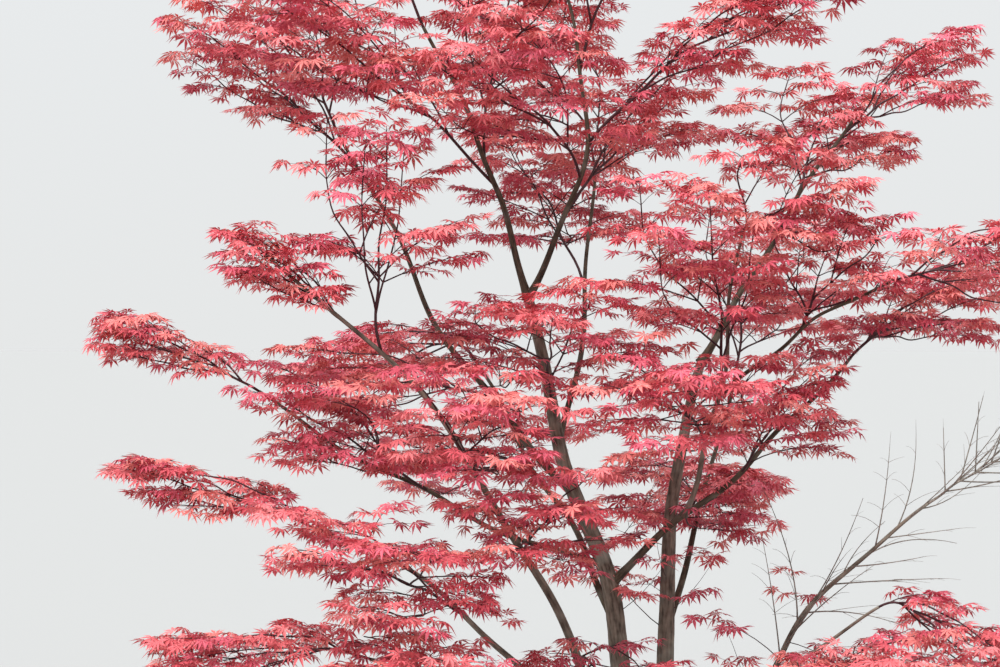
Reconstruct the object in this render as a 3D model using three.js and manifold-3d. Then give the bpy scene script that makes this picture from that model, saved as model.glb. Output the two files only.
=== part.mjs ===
// A Japanese maple tree with several stems from one root crown, in red spring leaf.
// Millimetres, +Z up, -Y to the front. The origin is the middle of the flat cut under the
// root crown, at ground level.
import * as THREE from "three";
import { mergeVertices } from "three/addons/utils/BufferGeometryUtils.js";
import Module from "manifold-3d";

const wasm = await Module();
wasm.setup();

// Clearances and fineness of the limbs
const GAP = 0.3; // between a limb or stem and what carries it
const TWIG_ROOM = 1.5; // between leaves or twigs and a limb, or the next mass's space
const LIMB_SIDES = 7;
const RING_STEP = 210; // length of one straight stretch of a limb
const STEM_SIDES = 4;
const STEM_RINGS = 4;
const WELD = 1e-3;
const SLIVER = { edge: 0.02, height: 0.003, closed: 0.5 }; // shortest edge, least height of a face,
// and the longest edge that is closed up to take a thin face out

// Root crown: flared foot, waist and rounded top, with one swelling for each root
const CROWN = {
  height: 205,
  profile: [[176, 0], [142, 24], [118, 62], [106, 112], [86, 160], [48, 194]],
  sides: 20,
  roots: 5,
  swell: 0.13,
  turn: 0.6,
};

// Limb growth
const REACH_OF_BEND = 0.38; // share of the chord over which each end keeps its direction
const CROOK = 0.012; // side-to-side wander as a share of the chord
const WANDER = [9, 12]; // how fast the wander turns, across and up
const TAPER = 0.8;

// Foliage growth. Each spray is a five-pointed blade that stands for many small leaves.
const SPRAY = {
  longest: 430, shortest: 120, thick: 0.0105, droop: 0.1, foot: 1.8, neck: 0.06, squeeze: 0.8,
  dip: [-0.55, 0], lean: [0.3, 0.85], // slope of a spray along and across its own line
  outline: [[0.42, 0.46], [0.38, 0.19], [0.8, 0.38], [0.64, 0.17]], // shares of the length
};
const SPRAY_SCALES = [1, 0.86, 0.73, 0.61, 0.5, 0.4, 0.3]; // sizes tried before one is left out
const SPRAY_LEANS = [1, -1, 0.2]; // leans tried at each size
const STEM = {
  foot: 5, tip: 4, flat: 0.75, footFlat: 0.45, // radii, and thickness as a share of width
  bare: 0.3, last: 0.86, // shares of its length where its sprays begin and end
  follow: 0.5, sag: 0.12, // how far it keeps its limb's direction, and how it bends down
  short: 0.55, shortest: 0.5, // room left for the tip's spray, by spray and by space
};
const PAIR_STEP = 140; // length of stem to each pair of sprays
const SPLAY = 54; // degrees between a stem and its sprays
const SPLAY_SPREAD = 16;
const TURNS = [-28, 40]; // degrees that pairs are turned about the stem, by turns
const TURN_SPREAD = 28;
const SPACE_POWER = 3; // 2 gives ellipsoids, more gives fuller corners
const LAYER_STRETCH = 1.6; // height counts for more when neighbouring masses share space
const SITE = 0.58; // where along a mass its share of space is centred
const LOWEST = 40; // nothing on a twig hangs lower than this

// Leafless twigs
const DRY = {
  pairs: 4, first: 0.12, last: 0.9, splay: 38, spread: 20, lift: [-0.1, 0.3], bend: 0.25,
  radius: [2.6, 1.5], sides: 3, rings: 2, step: 20, shortest: 60,
};

// Each limb: what carries it and how far along, its tip, the directions in which it leaves
// and arrives, and its radius at both ends. Stems from the root crown state a foot instead.
const TRUNK = {
  foot: [-8, 0, 70], tip: [-357, 0, 1633], leave: [-0.07, 0, 1], arrive: [-0.2, 0.02, 1],
  thick: [37, 15.5],
};
const LIMBS = [
  { name: "right_stem", foot: [62, 28, 100], tip: [190, 160, 1430],
    leave: [0.06, 0.03, 1], arrive: [0.35, 0.15, 1], thick: [34, 13.5] },
  { name: "left_front_stem", foot: [-62, -52, 100], tip: [-1080, -610, 1715],
    leave: [-0.3, -0.2, 0.93], arrive: [-0.78, -0.1, 0.6], thick: [17, 4.5] },
  { name: "left_low_stem", foot: [-88, -6, 92], tip: [-940, -310, 930],
    leave: [-0.5, -0.2, 0.83], arrive: [-0.85, -0.12, 0.35], thick: [14, 4.5] },
  { name: "bottom_left_stem", foot: [-84, -66, 70], tip: [-800, -430, 580],
    leave: [-0.72, -0.38, 0.6], arrive: [-0.85, -0.3, 0.38], thick: [12, 4.5] },
  { name: "right_outer_stem", foot: [92, -28, 92], tip: [800, -290, 1010],
    leave: [0.58, -0.22, 0.78], arrive: [0.78, -0.12, 0.55], thick: [14, 4.5] },
  { name: "low_right_stem", foot: [78, -74, 72], tip: [640, -405, 725],
    leave: [0.6, -0.45, 0.62], arrive: [0.8, -0.3, 0.5], thick: [10, 4] },
  { name: "left_leader", on: "trunk", along: 0.985, tip: [-660, -155, 2400],
    leave: [-0.28, -0.12, 1], arrive: [-0.5, -0.12, 0.86], thick: [11, 5] },
  { name: "right_leader", on: "trunk", along: 0.985, tip: [-235, -170, 2480],
    leave: [0.5, -0.15, 0.85], arrive: [-0.28, -0.1, 0.95], thick: [10.5, 4.5] },
  { name: "left_back_limb", on: "trunk", along: 0.62, tip: [-930, 120, 2110],
    leave: [-0.7, 0.35, 0.6], arrive: [-0.5, -0.15, 0.85], thick: [12.5, 5] },
  { name: "left_tier_bough", on: "trunk", along: 0.46, tip: [-1140, -180, 1330],
    leave: [-0.93, -0.15, 0.3], arrive: [-0.78, -0.05, 0.55], thick: [9, 4.5] },
  { name: "cross_limb", on: "trunk", along: 0.42, tip: [591, -180, 1428],
    leave: [0.7, -0.1, 0.7], arrive: [0.6, -0.15, 0.75], thick: [12.5, 5] },
  { name: "right_back_bough", on: "right_stem", along: 0.985, tip: [690, 330, 2190],
    leave: [0.5, 0.2, 0.8], arrive: [0.6, 0.2, 0.75], thick: [11.5, 5] },
  { name: "right_front_stem", on: "cross_limb", along: 0.3, tip: [260, -330, 1780],
    leave: [0.3, -0.6, 0.75], arrive: [0.2, -0.15, 0.95], thick: [8.5, 4.5] },
  { name: "right_reach_bough", on: "right_front_stem", along: 0.48, tip: [680, -440, 1650],
    leave: [0.75, -0.2, 0.6], arrive: [0.9, -0.25, 0.35], thick: [6.5, 4] },
  { name: "back_left_limb", on: "trunk", along: 0.34, tip: [-520, 560, 1420],
    leave: [-0.3, 0.7, 0.65], arrive: [-0.45, 0.5, 0.75], thick: [12, 5] },
  { name: "back_right_limb", on: "right_stem", along: 0.36, tip: [330, 640, 1330],
    leave: [0.25, 0.75, 0.6], arrive: [0.25, 0.6, 0.75], thick: [12, 5] },
  { name: "back_centre_limb", on: "trunk", along: 0.72, tip: [-130, 480, 2000],
    leave: [0.25, 0.6, 0.75], arrive: [0.1, 0.4, 0.9], thick: [10, 5] },
];

// Each mass of foliage: the limb that carries its stem and how far along, the furthest
// point of its space, and the width and height of that space.
const MASSES = [
  { name: "crown_top", on: "right_leader", along: 1, to: [-340, -120, 3300], wide: 640, tall: 550 },
  { name: "crown_left", on: "left_leader", along: 1, to: [-800, -190, 3090], wide: 620, tall: 540 },
  { name: "crown_right", on: "right_leader", along: 0.78, to: [190, -240, 3140],
    wide: 560, tall: 460, bare: 0.42 },
  { name: "crown_back", on: "left_leader", along: 0.5, to: [-330, 420, 2900], wide: 640, tall: 480 },
  { name: "upper_left", on: "left_leader", along: 0.4, to: [-1270, -430, 2600], wide: 640, tall: 420,
    bare: 0.42 },
  { name: "upper_far_left", on: "left_back_limb", along: 0.92, to: [-1400, -60, 2480],
    wide: 540, tall: 230, bare: 0.25 },
  { name: "upper_left_back", on: "left_back_limb", along: 1, to: [-1060, 420, 2620],
    wide: 600, tall: 460 },
  { name: "upper_right_tip", on: "right_leader", along: 0.54, to: [660, -430, 2630],
    wide: 400, tall: 210, bare: 0.4 },
  { name: "upper_right_inner", on: "right_leader", along: 0.32, to: [160, 230, 2290],
    wide: 500, tall: 300, bare: 0.3 },
  { name: "upper_centre_front", on: "right_leader", along: 0.42, to: [-570, -700, 2320],
    wide: 600, tall: 400, bare: 0.2 },
  { name: "right_shoulder_tip", on: "right_back_bough", along: 0.92, to: [1060, 400, 2420],
    wide: 480, tall: 300, bare: 0.1 },
  { name: "right_shoulder", on: "right_back_bough", along: 0.62, to: [680, 760, 2330],
    wide: 640, tall: 420 },
  { name: "right_upper_front", on: "right_front_stem", along: 1, to: [430, -560, 1900],
    wide: 640, tall: 480, bare: 0.1 },
  { name: "centre_upper_front", on: "right_front_stem", along: 0.5, to: [130, -650, 1950],
    wide: 660, tall: 480, bare: 0.1 },
  { name: "right_reach", on: "right_reach_bough", along: 1, to: [1150, -540, 1700],
    wide: 580, tall: 360 },
  { name: "right_reach_inner", on: "right_reach_bough", along: 0.5, to: [560, -160, 1850],
    wide: 620, tall: 460, bare: 0.2 },
  { name: "right_outer", on: "cross_limb", along: 1, to: [1060, 0, 1640],
    wide: 540, tall: 270, bare: 0.2 },
  { name: "right_low", on: "cross_limb", along: 0.52, to: [480, -390, 1450],
    wide: 540, tall: 370, bare: 0.15 },
  { name: "low_right_inner", on: "right_stem", along: 0.62, to: [340, 260, 980],
    wide: 420, tall: 260, bare: 0.4 },
  { name: "low_centre_spray", on: "left_front_stem", along: 0.22, to: [-60, -800, 480],
    wide: 420, tall: 220, bare: 0.4 },
  { name: "centre_right_front", on: "right_front_stem", along: 0.3, to: [-160, -860, 1370],
    wide: 740, tall: 460, bare: 0.2 },
  { name: "centre_front", on: "trunk", along: 0.8, to: [-300, -690, 1570],
    wide: 700, tall: 440, bare: 0.25 },
  { name: "centre_left_front", on: "left_front_stem", along: 0.56, to: [-600, -960, 1330],
    wide: 620, tall: 400 },
  { name: "centre_low_front", on: "left_front_stem", along: 0.42, to: [-260, -900, 1060],
    wide: 600, tall: 360, bare: 0.2 },
  { name: "left_spray", on: "left_front_stem", along: 0.86, to: [-1190, -620, 1770],
    wide: 260, tall: 170, bare: 0.35 },
  { name: "left_front_upper", on: "left_front_stem", along: 0.8, to: [-740, -580, 2150],
    wide: 550, tall: 410, bare: 0.45 },
  { name: "left_tier", on: "left_tier_bough", along: 1, to: [-1650, -230, 1550],
    wide: 260, tall: 150, bare: 0.3 },
  { name: "left_inner_tier", on: "left_back_limb", along: 0.28, to: [-1130, 230, 1370],
    wide: 520, tall: 310, bare: 0.6 },
  { name: "left_mid_tier", on: "left_tier_bough", along: 0.5, to: [-1130, -500, 1360],
    wide: 600, tall: 400, bare: 0.2 },
  { name: "left_low_tier", on: "left_low_stem", along: 1, to: [-1540, -330, 1130],
    wide: 240, tall: 140, bare: 0.35 },
  { name: "low_left_front", on: "left_low_stem", along: 0.62, to: [-960, -1000, 950],
    wide: 700, tall: 420, bare: 0.4 },
  { name: "bottom_left_reach", on: "bottom_left_stem", along: 1, to: [-1430, -480, 590],
    wide: 400, tall: 190, bare: 0.2 },
  { name: "bottom_left_front", on: "bottom_left_stem", along: 0.66, to: [-820, -980, 650],
    wide: 640, tall: 360, bare: 0.2 },
  { name: "bottom_right", on: "low_right_stem", along: 0.45, to: [780, -810, 640],
    wide: 640, tall: 330, bare: 0.1 },
  { name: "bottom_right_spray", on: "low_right_stem", along: 1, to: [1060, -540, 510],
    wide: 400, tall: 200, bare: 0.1 },
  { name: "bare_twigs", on: "right_outer_stem", along: 1, to: [1200, -330, 1270], wide: 460, tall: 360,
    leafless: true },
  { name: "back_top", on: "back_centre_limb", along: 1, to: [-420, 820, 2620], wide: 600, tall: 420 },
  { name: "back_centre", on: "back_centre_limb", along: 0.6, to: [-430, 1060, 2210],
    wide: 640, tall: 440, bare: 0.3 },
  { name: "back_left", on: "back_left_limb", along: 1, to: [-1030, 1000, 1330], wide: 620, tall: 350 },
  { name: "back_right", on: "back_right_limb", along: 1, to: [430, 1190, 1900], wide: 700, tall: 520 },
  { name: "back_low_left", on: "back_left_limb", along: 0.55, to: [-620, 1120, 1090],
    wide: 680, tall: 400, bare: 0.4 },
  { name: "back_low_right", on: "back_right_limb", along: 0.5, to: [200, 1200, 940],
    wide: 600, tall: 360, bare: 0.4 },
];

const BARK = { color: 0x4a3a30, roughness: 0.9, metalness: 0 };
const FOLIAGE = { color: 0xc93a4a, roughness: 0.62, metalness: 0 };
const DRY_TWIGS = { color: 0x85776a, roughness: 0.9, metalness: 0 };

const UP = new THREE.Vector3(0, 0, 1);
const vector = (xyz) => new THREE.Vector3(...xyz);
const mix = THREE.MathUtils.lerp;
const radians = THREE.MathUtils.degToRad;

// A repeatable number from 0 to 1 for a seed and an index.
function chance(seed, index) {
  const wave = Math.sin(seed * 12.9898 + index * 78.233) * 43758.5453;
  return wave - Math.floor(wave);
}

// A closed body from loose numbers: points as x, y, z and triangles as three point numbers.
function solidOf(points, corners) {
  return new wasm.Manifold(new wasm.Mesh({
    numProp: 3,
    vertProperties: Float32Array.from(points),
    triVerts: Uint32Array.from(corners),
  }));
}

// A closed body from a three.js geometry whose vertices are first moved by place().
function body(geometry, place) {
  geometry.deleteAttribute("normal");
  geometry.deleteAttribute("uv");
  const merged = mergeVertices(geometry, WELD);
  const points = merged.attributes.position;
  const corner = new THREE.Vector3();
  for (let i = 0; i < points.count; i += 1) {
    corner.fromBufferAttribute(points, i);
    points.setXYZ(i, ...place(corner));
  }
  return solidOf(points.array, merged.index.array);
}

// The largest of the separate pieces that a cut leaves.
function largest(solid) {
  const pieces = solid.decompose();
  return pieces.reduce((best, piece) => (piece.volume() > best.volume() ? piece : best));
}

// The centre line of a limb: a cubic curve that leaves and arrives in given directions,
// with a slight crook that dies away at both ends.
class LimbPath extends THREE.CubicBezierCurve3 {
  constructor(start, leave, end, arrive, seed) {
    const chord = end.clone().sub(start);
    const span = chord.length();
    const bend = span * REACH_OF_BEND;
    super(
      start,
      start.clone().addScaledVector(leave.clone().normalize(), bend),
      end.clone().addScaledVector(arrive.clone().normalize(), -bend),
      end,
    );
    this.crook = span * CROOK;
    this.phase = chance(seed, 1) * 2 * Math.PI;
    this.across = UP.clone().cross(chord).normalize();
    this.over = chord.normalize().clone().cross(this.across);
  }

  getPoint(t, target = new THREE.Vector3()) {
    super.getPoint(t, target);
    const wander = this.crook * 4 * t * (1 - t);
    target.addScaledVector(this.across, wander * Math.sin(WANDER[0] * t + this.phase));
    target.addScaledVector(this.over, wander * Math.cos(WANDER[1] * t + this.phase));
    return target;
  }

  // Point, direction and two cross directions at a share t of the way.
  frame(t) {
    const point = this.getPoint(t);
    const along = this.getTangent(t);
    const side = this.across.clone().addScaledVector(along, -this.across.dot(along)).normalize();
    return { point, along, side, top: along.clone().cross(side) };
  }
}

// A tapering tube along a path, grown outward on every side by `extra`.
function tube(path, thick, sides, rings, extra = 0) {
  const bar = new THREE.CylinderGeometry(1, 1, 1, sides, rings);
  return body(bar, (corner) => {
    const t = corner.y + 0.5;
    const { point, along, side, top } = path.frame(t);
    const radius = mix(thick[0], thick[1], t ** TAPER) + extra;
    const end = t < WELD ? -extra : t > 1 - WELD ? extra : 0;
    return point
      .addScaledVector(side, corner.x * radius)
      .addScaledVector(top, -corner.z * radius)
      .addScaledVector(along, end);
  });
}

// The root crown: a lathe shape with a flat underside, swollen toward each root.
function rootCrown(extra = 0) {
  const profile = CROWN.profile.map(([r, z]) => new THREE.Vector2(r + extra, z));
  profile.unshift(new THREE.Vector2(0, 0));
  profile.push(new THREE.Vector2(0, CROWN.height + extra));
  const lathe = new THREE.LatheGeometry(profile, CROWN.sides);
  return body(lathe, (corner) => {
    const fade = 1 - corner.y / (CROWN.height + extra);
    const around = Math.atan2(corner.z, corner.x);
    const swell = 1 + CROWN.swell * fade * Math.cos(CROWN.roots * around + CROWN.turn);
    return [corner.x * swell, -corner.z * swell, corner.y];
  });
}

// Limbs in order, each cut 0.3 mm clear of every earlier one that it springs from.
function growLimbs() {
  const paths = new Map();
  const solids = new Map();
  const trunkPath = new LimbPath(
    vector(TRUNK.foot), vector(TRUNK.leave), vector(TRUNK.tip), vector(TRUNK.arrive), 0,
  );
  const trunkRings = Math.ceil(trunkPath.getLength() / RING_STEP);
  const stem = (extra) => tube(trunkPath, TRUNK.thick, LIMB_SIDES + 2, trunkRings, extra);
  solids.set("trunk", rootCrown().add(stem(0)));
  paths.set("trunk", { path: trunkPath, thick: TRUNK.thick });
  let earlier = rootCrown(GAP).add(stem(GAP));
  LIMBS.forEach((limb, index) => {
    const start = limb.foot ? vector(limb.foot) : paths.get(limb.on).path.getPoint(limb.along);
    const path = new LimbPath(
      start, vector(limb.leave), vector(limb.tip), vector(limb.arrive), index + 1,
    );
    const rings = Math.ceil(path.getLength() / RING_STEP);
    const solid = largest(tube(path, limb.thick, LIMB_SIDES, rings).subtract(earlier));
    paths.set(limb.name, { path, thick: limb.thick });
    solids.set(limb.name, solid);
    earlier = earlier.add(tube(path, limb.thick, LIMB_SIDES, rings, GAP));
  });
  return { paths, solids, cutter: earlier };
}

// The space of one mass: a rounded block from its stem's foot to its furthest point.
function spaceOf(mass, paths, index) {
  const carrier = paths.get(mass.on);
  const frame = carrier.path.frame(mass.along);
  const atTip = mass.along === 1;
  const start = frame.point.clone().addScaledVector(frame.along, atTip ? GAP : 0);
  const to = vector(mass.to);
  const length = to.distanceTo(start);
  const heading = to.clone().sub(start).normalize();
  const side = UP.clone().cross(heading).normalize();
  const rise = heading.clone().cross(side);
  const radius = mix(carrier.thick[0], carrier.thick[1], mass.along ** TAPER);
  return {
    ...mass, index, start, to, length, heading, side, rise, atTip,
    carrierWay: frame.along,
    foot: Math.min(radius, STEM.foot),
    centre: start.clone().add(to).multiplyScalar(0.5),
    site: start.clone().lerp(to, SITE),
    pull: ((length + mass.wide + mass.tall) / 6) ** 2,
  };
}

// How far a point lies inside the space it shares out with the neighbouring masses: the
// smallest distance to a plane between two masses, stretched in height.
function shareMargin(space, spaces, point) {
  const stretched = (at) => new THREE.Vector3(at.x, at.y, at.z * LAYER_STRETCH);
  const here = stretched(point);
  const own = stretched(space.site);
  const ownPower = here.distanceToSquared(own) - space.pull;
  let margin = Infinity;
  for (const other of spaces) {
    if (other === space) continue;
    const site = stretched(other.site);
    const power = here.distanceToSquared(site) - other.pull;
    margin = Math.min(margin, (power - ownPower) / (2 * site.distanceTo(own)));
  }
  return margin;
}

// True where a point lies in a mass's own space.
function inside(space, spaces, point) {
  const from = point.clone().sub(space.centre);
  const filled =
    Math.abs(from.dot(space.heading) / (space.length / 2)) ** SPACE_POWER
    + Math.abs(from.dot(space.side) / (space.wide / 2)) ** SPACE_POWER
    + Math.abs(from.dot(space.rise) / (space.tall / 2)) ** SPACE_POWER;
  return filled <= 1 && point.z > LOWEST && shareMargin(space, spaces, point) > TWIG_ROOM;
}

// The stem of a mass: it carries on from its limb and bends toward the furthest point.
function stemPath(space) {
  const leave = space.atTip
    ? space.carrierWay
    : space.carrierWay.clone().multiplyScalar(STEM.follow).add(space.heading);
  const room = Math.min(STEM.shortest, (STEM.short * SPRAY.longest) / space.length);
  const end = space.start.clone().lerp(space.to, 1 - room);
  const arrive = space.heading.clone().addScaledVector(UP, -STEM.sag);
  return new LimbPath(space.start, leave, end, arrive, space.index + 40);
}

// A closed plate. Its outline is laid out flat, anticlockwise, to be filled with triangles,
// and each corner then goes to its place `at`, half its thickness to each side of that.
function plate(outline) {
  const count = outline.length;
  const points = [];
  for (const share of [-0.5, 0.5]) {
    for (const { at, normal, thick } of outline) {
      points.push(...at.clone().addScaledVector(normal, share * thick));
    }
  }
  const corners = [];
  for (const [a, b, c] of THREE.ShapeUtils.triangulateShape(outline.map(({ flat }) => flat), [])) {
    corners.push(a + count, b + count, c + count, c, b, a);
  }
  for (let i = 0; i < count; i += 1) {
    const j = (i + 1) % count;
    corners.push(i, j, j + count, i, j + count, i + count);
  }
  return solidOf(points, corners);
}

// The neck, points and notches of one spray, rear side first. In the flat layout it stands
// square to the stem from `station`, on the side given by `hand`, squeezed to fit.
function blade(root, way, normal, length, hand, station) {
  const rear = hand > 0 ? normal.clone().cross(way) : way.clone().cross(normal);
  const half = SPRAY.outline;
  const shape = [[SPRAY.neck, 0], ...half, [1, 0], ...half.map(([x, y]) => [x, -y]).reverse()];
  return shape.map(([x, y]) => ({
    flat: hand === 0
      ? new THREE.Vector2(station + x * length, -y * length)
      : new THREE.Vector2(station - y * PAIR_STEP * SPRAY.squeeze, hand * x * length),
    at: root.clone()
      .addScaledVector(way, x * length)
      .addScaledVector(rear, y * length)
      .addScaledVector(normal, -SPRAY.droop * (x * x + y * y) * length),
    normal,
    thick: SPRAY.thick * length,
  }));
}

// One mass: opposite pairs of sprays along a stem, each as long as the mass's own space
// lets it be, and one more at the stem's tip, all in one closed plate.
function growLeafyMass(space, spaces, obstacles, cutter) {
  const path = stemPath(space);
  const seed = space.index * 7 + 3;
  const placed = [];
  const clear = (solid) => solid.intersect(obstacles).isEmpty()
    && placed.every((other) => solid.intersect(other).isEmpty());
  const fits = (corners) => corners.every(({ at }) => inside(space, spaces, at));

  // The largest spray that fits on a foot, or none.
  const spray = (root, way, index, hand, station) => {
    const dip = mix(SPRAY.dip[0], SPRAY.dip[1], chance(seed, index));
    const along = way.clone().addScaledVector(UP, dip).normalize();
    const level = UP.clone().addScaledVector(along, -UP.dot(along)).normalize();
    const sideways = along.clone().cross(level);
    const lean = mix(SPRAY.lean[0], SPRAY.lean[1], chance(seed, index + 0.5));
    for (const scale of SPRAY_SCALES) {
      for (const share of SPRAY_LEANS) {
        const length = SPRAY.longest * scale;
        const normal = level.clone().addScaledVector(sideways, lean * share).normalize();
        const corners = blade(root, along, normal, length, hand, station);
        if (length < SPRAY.shortest || !fits(corners)) continue;
        const solid = plate(hand > 0 ? corners.toReversed() : corners);
        if (!clear(solid)) continue;
        placed.push(solid);
        return corners.slice(1);
      }
    }
    return [];
  };

  // A corner of the stem itself, on its left (hand 1) or right (hand -1) edge.
  const edge = (frame, t, outward, hand, shift) => {
    const radius = mix(space.foot, STEM.tip, t);
    return {
      flat: new THREE.Vector2(t * space.length + shift, hand * radius),
      at: frame.point.clone().addScaledVector(outward, hand * radius)
        .addScaledVector(frame.along, shift),
      normal: frame.along.clone().cross(outward),
      thick: 2 * radius * (shift ? STEM.footFlat : STEM.flat),
    };
  };

  const foot = path.frame(0);
  const tip = path.frame(1);
  const right = [edge(foot, 0, foot.side, -1, 0)];
  const left = [edge(foot, 0, foot.side, 1, 0)];
  const end = spray(tip.point, tip.along, 99, 0, space.length);
  const bare = space.bare ?? STEM.bare;
  const pairs = Math.max(2, Math.round((space.length * (1 - bare)) / PAIR_STEP));
  for (let pair = 0; pair < pairs; pair += 1) {
    const t = mix(bare, STEM.last, pair / (pairs - 1));
    const frame = path.frame(t);
    const turn = radians(TURNS[pair % 2] + TURN_SPREAD * (chance(seed, pair) - 0.5));
    const outward = space.side.clone().multiplyScalar(Math.cos(turn) * space.wide)
      .addScaledVector(space.rise, Math.sin(turn) * space.tall);
    outward.addScaledVector(frame.along, -outward.dot(frame.along)).normalize();
    for (const hand of [1, -1]) {
      const angle = radians(SPLAY + SPLAY_SPREAD * (chance(seed, pair + hand * 0.3) - 0.5));
      const way = frame.along.clone().multiplyScalar(Math.cos(angle))
        .addScaledVector(outward, hand * Math.sin(angle)).normalize();
      const root = frame.point.clone().addScaledVector(outward, hand * STEM.tip);
      const corners = spray(root, way, 60 + pair * 2 + (hand + 1) / 2, hand, t * space.length);
      const side = hand > 0 ? left : right;
      if (corners.length) {
        side.push(edge(frame, t, outward, hand, -SPRAY.foot), ...corners);
        side.push(edge(frame, t, outward, hand, SPRAY.foot));
      } else {
        side.push(edge(frame, t, outward, hand, 0));
      }
    }
  }
  const outline = [
    ...right, edge(tip, 1, tip.side, -1, 0), ...end, edge(tip, 1, tip.side, 1, 0), ...left.reverse(),
  ];
  const whole = plate(outline);
  return space.atTip ? whole : largest(whole.subtract(cutter));
}

// The leafless mass: bare twigs in pairs on a stem, each as long as its space lets it be.
function growBareMass(space, spaces, obstacles) {
  const path = stemPath(space);
  const parts = [tube(path, [space.foot, DRY.radius[1]], STEM_SIDES, STEM_RINGS)];
  const seed = space.index;
  const reach = (point, way, length) => point.clone().addScaledVector(way, length);
  for (let pair = 0; pair < DRY.pairs; pair += 1) {
    const { point, along } = path.frame(mix(DRY.first, DRY.last, pair / (DRY.pairs - 1)));
    for (const hand of [1, -1]) {
      const angle = radians(DRY.splay + DRY.spread * chance(seed, pair + hand * 0.3));
      const way = along.clone().multiplyScalar(Math.cos(angle))
        .addScaledVector(space.side, hand * Math.sin(angle))
        .addScaledVector(UP, mix(DRY.lift[0], DRY.lift[1], chance(seed, pair + 5))).normalize();
      let length = DRY.shortest;
      while (inside(space, spaces, reach(point, way, length + DRY.step))) length += DRY.step;
      const arrive = way.clone().addScaledVector(UP, DRY.bend);
      const twigPath = new LimbPath(point, way, reach(point, way, length), arrive, seed + pair);
      const twig = tube(twigPath, DRY.radius, DRY.sides, DRY.rings);
      if (twig.intersect(obstacles).isEmpty()) parts.push(twig);
    }
  }
  return largest(wasm.Manifold.union(parts));
}

// A named three.js mesh of a closed body.
// The shortest side of a face that is a sliver, as the place of its first corner, or -1
function shortSide(corners) {
  const lengths = corners.map((corner, side) => corner.distanceTo(corners[(side + 1) % 3]));
  const shortest = Math.min(...lengths);
  const height = 2 * new THREE.Triangle(...corners).getArea() / Math.max(...lengths);
  const thin = height < SLIVER.height && shortest < SLIVER.closed;
  return thin || shortest < SLIVER.edge ? lengths.indexOf(shortest) : -1;
}

// The corners of a closed mesh with its slivers taken out. The shortest side of each is closed
// up, so long as its two ends share just two neighbours and the surface stays whole.
function withoutSlivers(points, corners) {
  const at = (index) => new THREE.Vector3().fromArray(points, 3 * index);
  let faces = Array.from({ length: corners.length / 3 }, (_, face) =>
    [...corners.slice(3 * face, 3 * face + 3)]);
  const around = (index) => new Set(faces.filter((face) => face.includes(index)).flat());
  const left = new Set();
  const next = () => faces.find((face) => !left.has(String(face)) && shortSide(face.map(at)) >= 0);
  for (let face = next(); face; face = next()) {
    const side = shortSide(face.map(at));
    const [stays, goes] = [face[side], face[(side + 1) % 3]];
    const beyond = around(goes);
    const shared = [...around(stays)].filter((index) => index !== stays && beyond.has(index));
    if (shared.length === 3) {
      faces = faces.map((other) => other.map((index) => (index === goes ? stays : index)))
        .filter((other) => new Set(other).size === 3);
    } else left.add(String(face));
  }
  return faces.flat();
}

function meshOf(name, solid, look) {
  const { vertProperties, triVerts } = solid.getMesh();
  const full = new THREE.BufferGeometry();
  full.setAttribute("position", new THREE.BufferAttribute(vertProperties, 3));
  full.setIndex(withoutSlivers(vertProperties, triVerts));
  const geometry = mergeVertices(full.toNonIndexed(), WELD);
  geometry.computeVertexNormals();
  const mesh = new THREE.Mesh(geometry, new THREE.MeshStandardMaterial(look));
  mesh.name = name;
  return mesh;
}

// The whole tree: limbs first, then each mass clear of them and of the other masses' stems.
function buildTree() {
  const tree = new THREE.Group();
  const { paths, solids, cutter } = growLimbs();
  const spaces = MASSES.map((mass, index) => spaceOf(mass, paths, index));
  const stems = spaces.map((space) => tube(
    stemPath(space), [space.foot, STEM.tip], STEM_SIDES, STEM_RINGS, TWIG_ROOM,
  ));
  for (const [name, solid] of solids) tree.add(meshOf(name, solid, BARK));
  for (const space of spaces) {
    const others = stems.filter((_, index) => index !== space.index);
    const obstacles = wasm.Manifold.union([cutter, ...others]);
    const grow = space.leafless ? growBareMass : growLeafyMass;
    const solid = grow(space, spaces, obstacles, cutter);
    tree.add(meshOf(space.name, solid, space.leafless ? DRY_TWIGS : FOLIAGE));
  }
  return tree;
}

export default buildTree();
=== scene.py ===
"""Looks of a Japanese maple tree: bark on its limbs, twigs and red leaves in layered sprays.

The frame holds the limbs and foliage masses. Each limb is replaced by a mesh with the bark's
relief, and each mass by the twigs and leaves that grow on from its limb by the same rule.
Metres, +Z up, -Y to the front.
"""

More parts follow.
